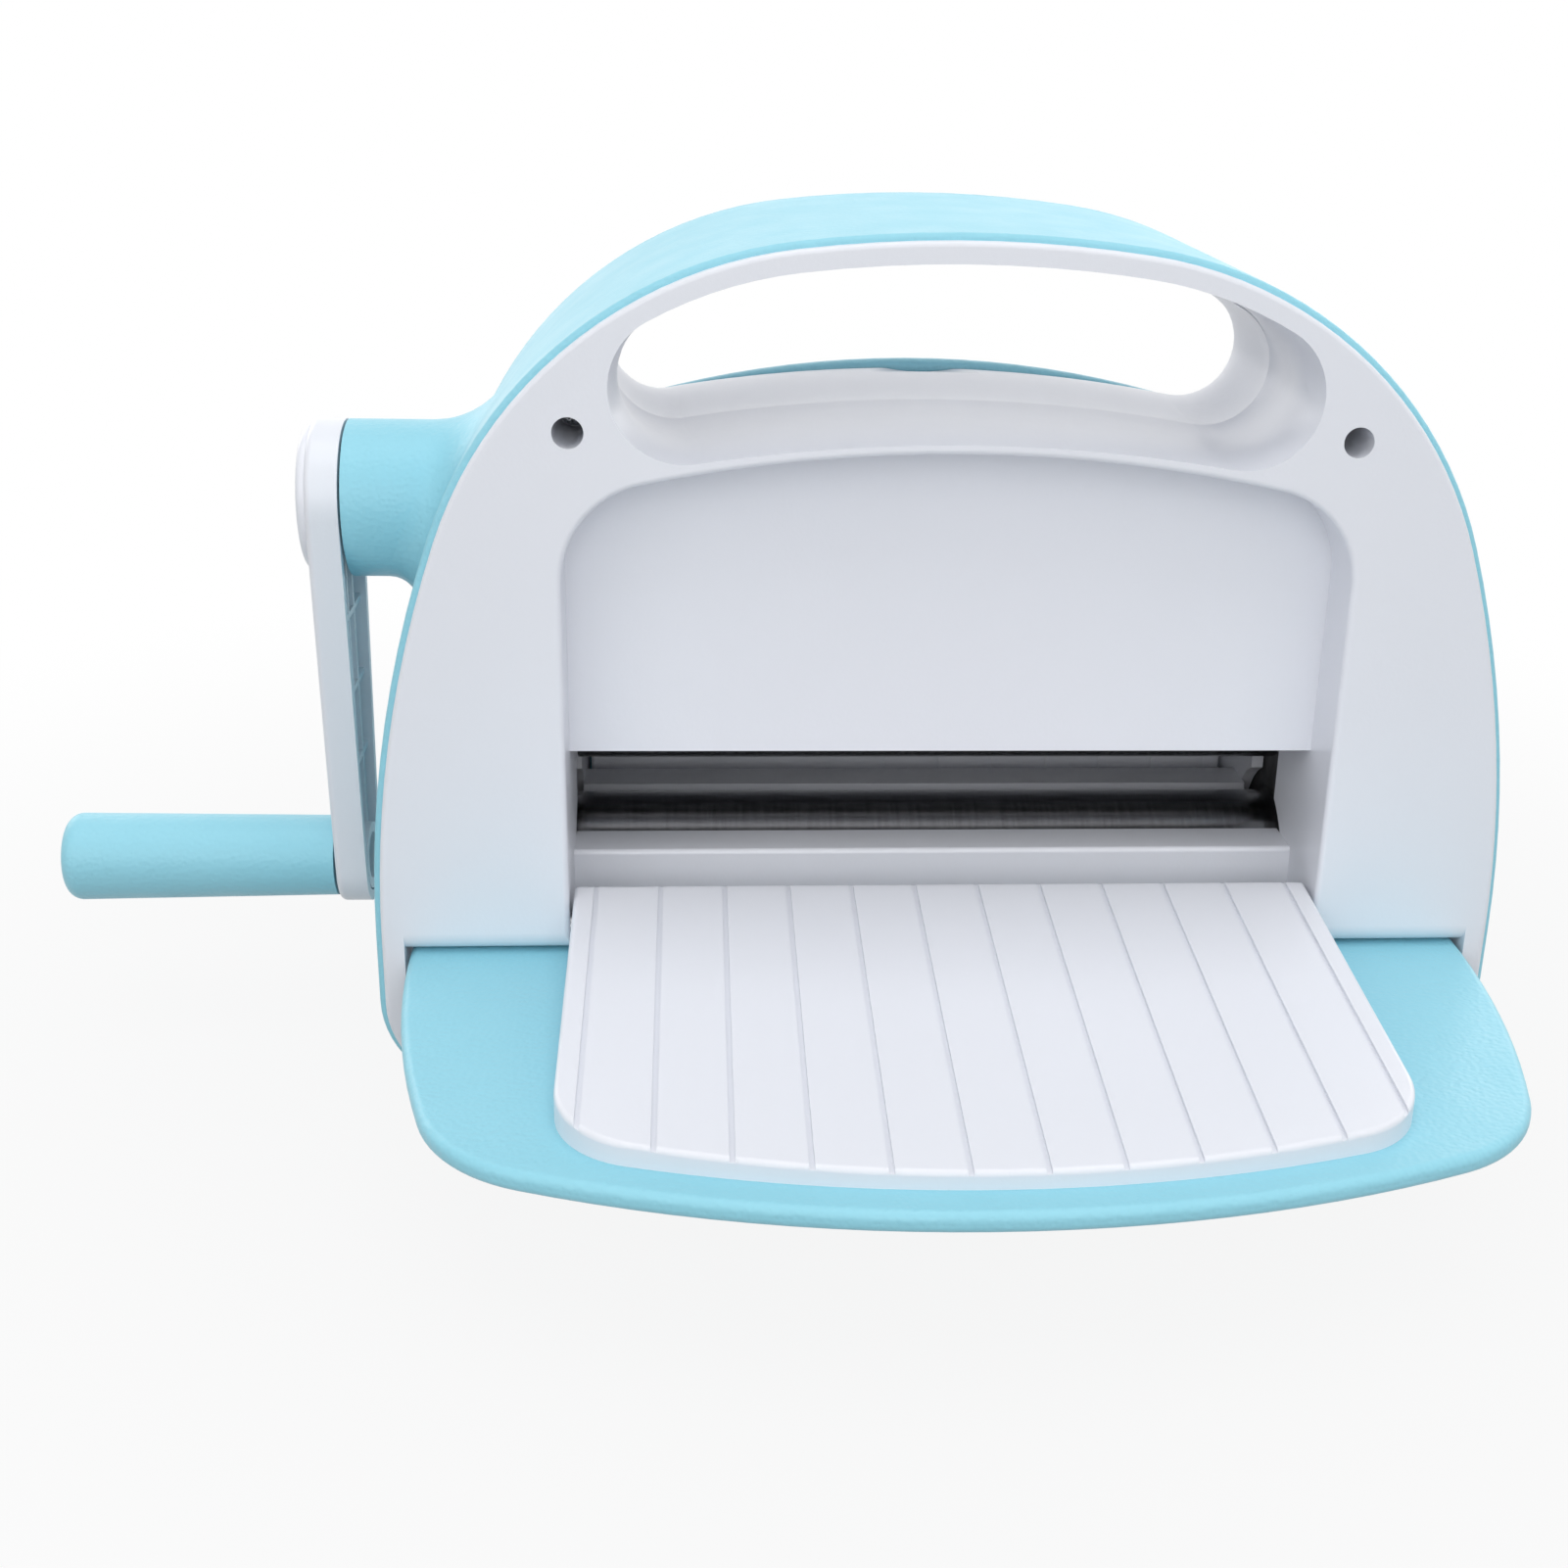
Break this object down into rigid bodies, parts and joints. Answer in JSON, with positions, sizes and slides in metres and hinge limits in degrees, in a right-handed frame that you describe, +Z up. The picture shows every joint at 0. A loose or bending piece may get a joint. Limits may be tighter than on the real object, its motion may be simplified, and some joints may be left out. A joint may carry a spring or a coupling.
{
  "type": "die cutting machine",
  "caption": "Hand-cranked roller press for cutting and embossing paper, with an arched body, carrying window, feed slot and folding grooved trays front and back.",
  "frame": {"origin": "on the floor under the middle of the body", "axes": "+X to the side away from the crank, +Y from the open front tray towards the back, +Z up"},
  "size_m": [0.2965, 0.1878, 0.1746],
  "materials": {
    "white_plastic": "smooth, slightly glossy",
    "blue_plastic": "fine moulded texture",
    "steel": "turned and ground",
    "dark_steel": "black coat",
    "bronze": "sintered",
    "gear_steel": "cut teeth, oiled",
    "screw_zinc": "zinc plated",
    "rubber": "soft matt"
  },
  "bodies": {
    "chassis": {"front_cover": "white_plastic", "rear_cover": "white_plastic", "body_band": "blue_plastic", "base_plate": "dark_steel", "base_screws": "screw_zinc", "rubber_feet": "rubber", "left_side_frame": "dark_steel", "right_side_frame": "dark_steel", "tie_bars": "steel", "roller_bushes": "bronze", "crank_bushes": "bronze", "front_feed_bed": "white_plastic", "rear_feed_bed": "white_plastic", "cover_screws": "screw_zinc"},
    "front_tray": {"front_tray_base": "blue_plastic", "front_tray_plate": "white_plastic", "front_tray_screws": "screw_zinc", "front_hinge_pins": "steel"},
    "rear_tray": {"rear_tray_base": "blue_plastic", "rear_tray_plate": "white_plastic", "rear_tray_screws": "screw_zinc", "rear_hinge_pins": "steel"},
    "crank": {"crank_arm": "white_plastic", "crank_shaft": "steel", "crank_pinion": "gear_steel", "arm_screw": "screw_zinc", "grip_axle": "steel"},
    "grip": {"crank_grip": "blue_plastic"},
    "upper_roller": {"upper_roller": "steel", "upper_drive_gear": "gear_steel", "upper_sync_gear": "gear_steel"},
    "lower_roller": {"lower_roller": "steel", "lower_sync_gear": "gear_steel"}
  },
  "joints": [
    {"name": "front_tray_fold", "type": "hinge", "parent": "chassis", "child": "front_tray", "pos_m": [0, -0.04, 0.0389], "axis": [-1, 0, 0], "range_deg": [0, 90]},
    {"name": "rear_tray_open", "type": "hinge", "parent": "chassis", "child": "rear_tray", "pos_m": [0, 0.04, 0.0389], "axis": [-1, 0, 0], "range_deg": [0, 90]},
    {"name": "upper_roller_turn", "type": "hinge", "parent": "chassis", "child": "upper_roller", "pos_m": [0, 0, 0.077], "axis": [1, 0, 0], "continuous": true},
    {"name": "lower_roller_turn", "type": "hinge", "parent": "chassis", "child": "lower_roller", "pos_m": [0, 0, 0.035], "axis": [1, 0, 0], "continuous": true},
    {"name": "crank_turn", "type": "hinge", "parent": "chassis", "child": "crank", "pos_m": [0, 0, 0.116], "axis": [1, 0, 0], "continuous": true},
    {"name": "grip_spin", "type": "hinge", "parent": "crank", "child": "grip", "pos_m": [-0.15, 0, 0.0375], "axis": [1, 0, 0], "continuous": true}
  ],
  "couplings": [
    {"joint": "lower_roller_turn", "follows": "upper_roller_turn", "ratio": -1},
    {"joint": "crank_turn", "follows": "upper_roller_turn", "ratio": -2.25}
  ]
}
